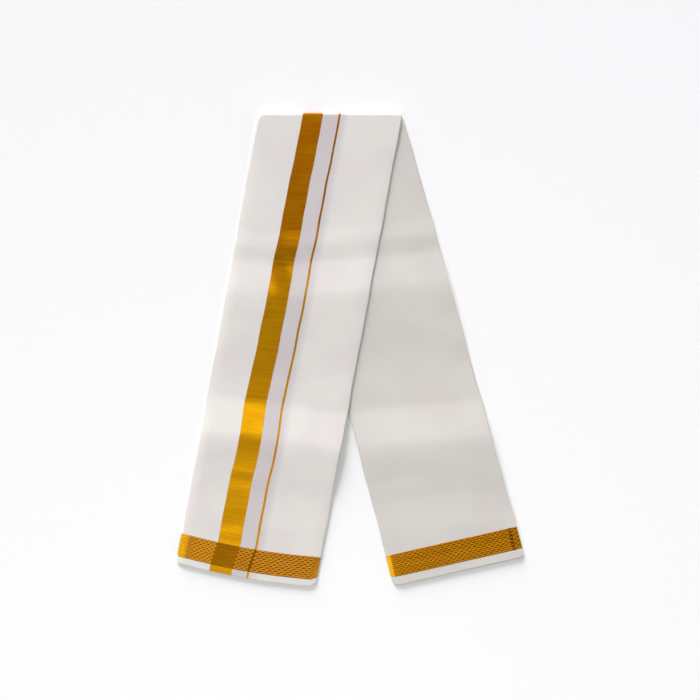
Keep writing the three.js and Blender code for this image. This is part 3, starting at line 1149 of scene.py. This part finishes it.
# Straighter, wider threads for the painted highlight at the fold ends.
PAINTED_HIGHLIGHT_SHAPE = {"Wave Height": 0.00012, "Thread Width": 0.0040, "Wobble": 0.0003}
GOLDS = {"front": [BAND_THREAD, WIDE_THREAD, WIDE_THREAD], "back": [BACK_THREAD, BACK_THREAD]}
for fall, cloth in (("front", front_band), ("back", back_band)):
    spans, ends = split_spans(fall)
    for number, (low, high, highlight_gold) in enumerate(ends):
        name = f"{fall}_bright_threads_{number + 1}"
        band_threads(name, fall, cloth, highlight_gold, (low, high), {"Seed": 21 + number, **PAINTED_HIGHLIGHT_SHAPE})
    for number, span in enumerate(spans):
        name = f"{fall}_band_threads_{number + 1}"
        changes = {"Seed": 3 + number, **EASES[fall][number]}
        band_threads(name, fall, cloth, GOLDS[fall][number], span, changes)

# %% [markdown]
# ## Crossing and selvedge
#
# The square where border and band cross has a fine slanting hatch, and the back band has a row of
# dots beside its selvedge. Both are rows of threads with other numbers.

# %% Hatch of the crossing and dots of the selvedge
HATCH_THREADS = {
    "Turn": math.radians(-58.0),
    "Row Pitch": 0.0036,
    "Wave Height": 0.0,
    "Wobble": 0.0004,
    "Thread Width": 0.0017,
    "Thread Height": 0.00026,
    "Seed": 11,
}
HATCH_INSET = 0.0003
crossing_span = (line_at(front, "border") + HATCH_INSET, line_at(front, "lilac") - HATCH_INSET)
band_threads("front_crossing_hatch", "front", front_crossing, HATCH, crossing_span, HATCH_THREADS)
DOTS = {
    "Row Pitch": 0.0074,
    "Wave Height": 0.0,
    "Wobble": 0.0,
    "Thread Width": 0.0030,
    "Point Step": 0.0008,
    "Seed": 2,
}
DOT_REACH = 0.0014
dot_span = (SELVEDGE_COLUMN["inset"] - DOT_REACH, SELVEDGE_COLUMN["inset"] + DOT_REACH)
band_threads("back_selvedge_dots", "back", back_band, BACK_THREAD, dot_span, DOTS)

# %% [markdown]
# ## The ribs of the border
#
# The border has wide, nearly flat ribs. As threads they follow the swells and glint one by one.

# %% Ribs of the border
RIB_INSET = 0.0002
BORDER_RIBS = {
    "Turn": 0.0,
    "Across Start": RIB_INSET,
    "Across Stop": line_at(front, "lilac") - line_at(front, "border") - RIB_INSET,
    "Along Start": 0.002,
    "Along Stop": float(front["run"][front["plain_end"]]),
    "Row Pitch": 0.0042,
    "Point Step": 0.0030,
    "Wave Length": 1.0,
    "Wave Height": 0.0,
    "Wobble": 0.0012,
    "Wobble Length": 0.021,
    "Thread Width": 0.0039,
    "Thread Height": 0.00004,
    "Lift": 0.00001,
    "Profile Points": 12,
    "Seed": 5,
}
threads("front_border_ribs", "front", front_border, BORDER_RIB, BORDER_RIBS)

# %% [markdown]
# ## The sheet it is cut from
#
# The whole cloth is one rectangle, 1.12 m wide and 1.92 m long. Each fall holds half of its length,
# in four layers. The zones are separate pieces only because they differ in material; the area of the
# front fall's cotton is measured below.


def flat_area(*pieces):
    """Area of one side of these shells, in square metres."""
    return sum(face.area for piece in pieces for face in piece.data.polygons) / 2.0


print("front cotton", round(flat_area(front_cloth, front_cast), 3), "square metres")

# %% [markdown]
# ## Floor and light
#
# The cloth is seen from straight above. A low soft key light from the bend's side grazes the swells,
# and a high one gives the gold its highlights. A soft panel above the cut ends brightens the lower
# border, two weak lights come from the sides, and the pale world fills the rest.

# %% Floor and lights
def sun(name, azimuth, elevation, strength, angle, color):
    data = bpy.data.lights.new(name, "SUN")
    data.energy = strength
    data.angle = math.radians(angle)
    data.color = color
    tilt = math.radians(90.0 - elevation)
    new_object(name, data).rotation_euler = (tilt, 0.0, math.radians(azimuth + 90.0))


sun("key_light", 108.0, 13.0, 5.95, 30.0, (0.98, 0.965, 1.0))
sun("gold_light", 96.0, 74.5, 0.39, 6.0, (0.94, 1.0, 0.75))
sun("left_light", 183.0, 42.0, 0.40, 16.0, (1.0, 1.0, 0.95))
sun("right_light", -12.0, 18.0, 0.60, 40.0, (1.0, 0.95, 0.90))

panel_data = bpy.data.lights.new("end_panel", "AREA")
panel_data.shape = "DISK"
panel_data.size = 0.35
panel_data.energy = 4.0
panel_data.color = (0.96, 1.0, 0.8)
panel = new_object("end_panel", panel_data)
panel.location = (-0.25, -0.78, 2.0)
panel.rotation_euler = (math.radians(-12.0), 0.0, 0.0)

world = bpy.data.worlds.new("studio")
bpy.context.scene.world = world
world.use_nodes = True
background = world.node_tree.nodes["Background"]
background.inputs[0].default_value = (0.86, 0.84, 1.0, 1.0)
background.inputs[1].default_value = 0.29

floor_mesh = bpy.data.meshes.new("floor")
half = 6.0
floor_mesh.from_pydata(
    [(-half, -half, 0.0), (half, -half, 0.0), (half, half, 0.0), (-half, half, 0.0)], [], [(0, 1, 2, 3)]
)
floor = new_object("floor", floor_mesh)
floor_material, _, _ = new_material("floor", (0.98, 0.98, 0.98), 0.9)
floor_mesh.materials.append(floor_material)
floor.location.z = -0.0004

view = bpy.context.scene.view_settings
view.view_transform = "Standard"
view.look = "None"
print("lights: 5")

# %% [markdown]
# ## The camera
#
# The photo shows no perspective, so a long lens looks straight down from far above.

# %% Camera
VIEW_WIDTH = 0.700 * 2.03
LENS = 400.0
SENSOR = 36.0
camera_data = bpy.data.cameras.new("camera")
camera_data.lens = LENS
camera_data.sensor_width = SENSOR
camera_data.clip_end = 50.0
camera = new_object("camera", camera_data)
camera.location = (-0.001, -0.001, VIEW_WIDTH * LENS / SENSOR)
bpy.context.scene.camera = camera
print("camera height", round(camera.location.z, 3))
